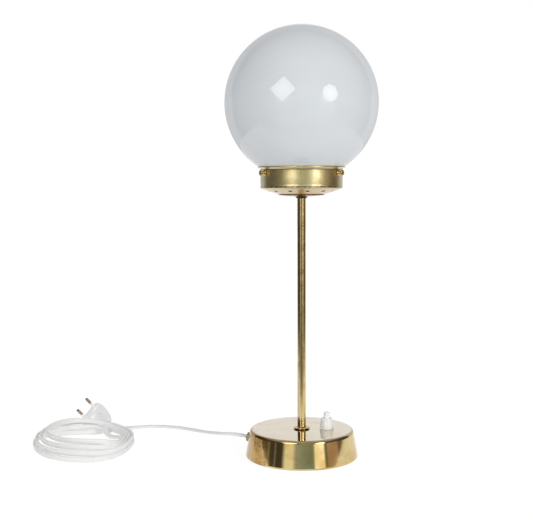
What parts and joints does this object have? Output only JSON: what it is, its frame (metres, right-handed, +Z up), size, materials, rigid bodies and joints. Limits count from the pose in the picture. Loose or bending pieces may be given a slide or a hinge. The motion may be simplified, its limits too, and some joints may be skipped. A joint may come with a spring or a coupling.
{
  "type": "glass globe table lamp",
  "caption": "Table lamp: opal glass globe held by thumbscrews in a spun brass gallery, thin brass stem, weighted round foot with a push switch, flat flex coiled beside it with a two-pin plug.",
  "frame": {"origin": "middle of the foot's underside, on the table", "axes": "+Z up along the stem, +X towards the push switch, -Y towards the viewer; the cable leaves towards -X"},
  "size_m": [0.424, 0.235, 0.5101],
  "materials": {
    "brass_foot": "polished, lacquered, tarnished in patches",
    "brass_stem": "polished tube with fine tarnish",
    "brass_gallery": "satin, turned",
    "brass_bright": "polished",
    "dark_ring": "oxidised, nearly black",
    "contact_brass": "bare strip",
    "cast_weight": "rough cast",
    "zinc_steel": "zinc plated",
    "felt": "pressed felt",
    "opal_glass": "opal, glossy",
    "bulb_glass": "frosted",
    "bulb_cap_metal": "pressed, bare",
    "bulb_contact": "dark glass with a solder spot",
    "holder_white": "moulded, glossy",
    "porcelain": "glazed",
    "switch_white": "moulded, glossy",
    "flex_white": "matt, ribbed",
    "plug_white": "moulded, satin",
    "pin_nickel": "nickel plated brass",
    "wire_blue": "single-core sheath",
    "wire_brown": "single-core sheath"
  },
  "bodies": {
    "lamp": {"base_shell": "brass_foot", "base_weight": "cast_weight", "base_felt": "felt", "weight_washer": "zinc_steel", "weight_nut": "brass_bright", "stem_tube": "brass_stem", "foot_ring": "brass_bright", "top_ring": "dark_ring", "gallery_disc": "brass_bright", "gallery": "brass_gallery", "gallery_nut": "brass_bright", "screw_bosses": "brass_gallery", "holder_cap": "holder_white", "holder_skirt": "holder_white", "holder_insert": "porcelain", "holder_terminals": "contact_brass", "socket_shell": "contact_brass", "centre_contact": "contact_brass", "switch_collar": "switch_white", "switch_housing": "holder_white", "switch_spring": "zinc_steel", "switch_contacts": "contact_brass", "cord_gland": "brass_bright", "gland_nut": "brass_bright", "cord_clamp": "zinc_steel", "clamp_screws": "zinc_steel", "cord_tail": "flex_white", "wire_neutral": "wire_blue", "wire_switched": "wire_brown", "wire_feed": "wire_brown", "cord_run": "flex_white", "cord_coil": "flex_white", "plug_body": "plug_white", "plug_sleeves": "plug_white", "plug_pins": "pin_nickel"},
    "button": {"switch_button": "switch_white", "switch_bridge": "contact_brass"},
    "screw_left": {"glass_screw_left": "brass_bright"},
    "screw_right": {"glass_screw_right": "brass_bright"},
    "screw_back": {"glass_screw_back": "brass_bright"},
    "globe": {"globe": "opal_glass"},
    "bulb": {"bulb_cap": "bulb_cap_metal", "bulb_contact": "bulb_contact", "bulb_glass": "bulb_glass"}
  },
  "joints": [
    {"name": "button_press", "type": "slide", "parent": "lamp", "child": "button", "axis": [0, 0, -1], "range_m": [0, 0.003], "stiffness_N_per_m": 400, "springref_m": -0.004, "deforming": ["switch_spring"]},
    {"name": "glass_screw_back_out_left", "type": "slide", "parent": "lamp", "child": "screw_left", "axis": [-0.866, -0.5, 0], "range_m": [0, 0.004]},
    {"name": "glass_screw_back_out_right", "type": "slide", "parent": "lamp", "child": "screw_right", "axis": [0.866, -0.5, 0], "range_m": [0, 0.004]},
    {"name": "glass_screw_back_out_back", "type": "slide", "parent": "lamp", "child": "screw_back", "axis": [0, 1, 0], "range_m": [0, 0.004]},
    {"name": "globe_lift", "type": "slide", "parent": "lamp", "child": "globe", "axis": [0, 0, 1], "range_m": [0, 0.15]},
    {"name": "bulb_unscrew", "type": "slide", "parent": "lamp", "child": "bulb", "axis": [0, 0, 1], "range_m": [0, 0.028]}
  ]
}
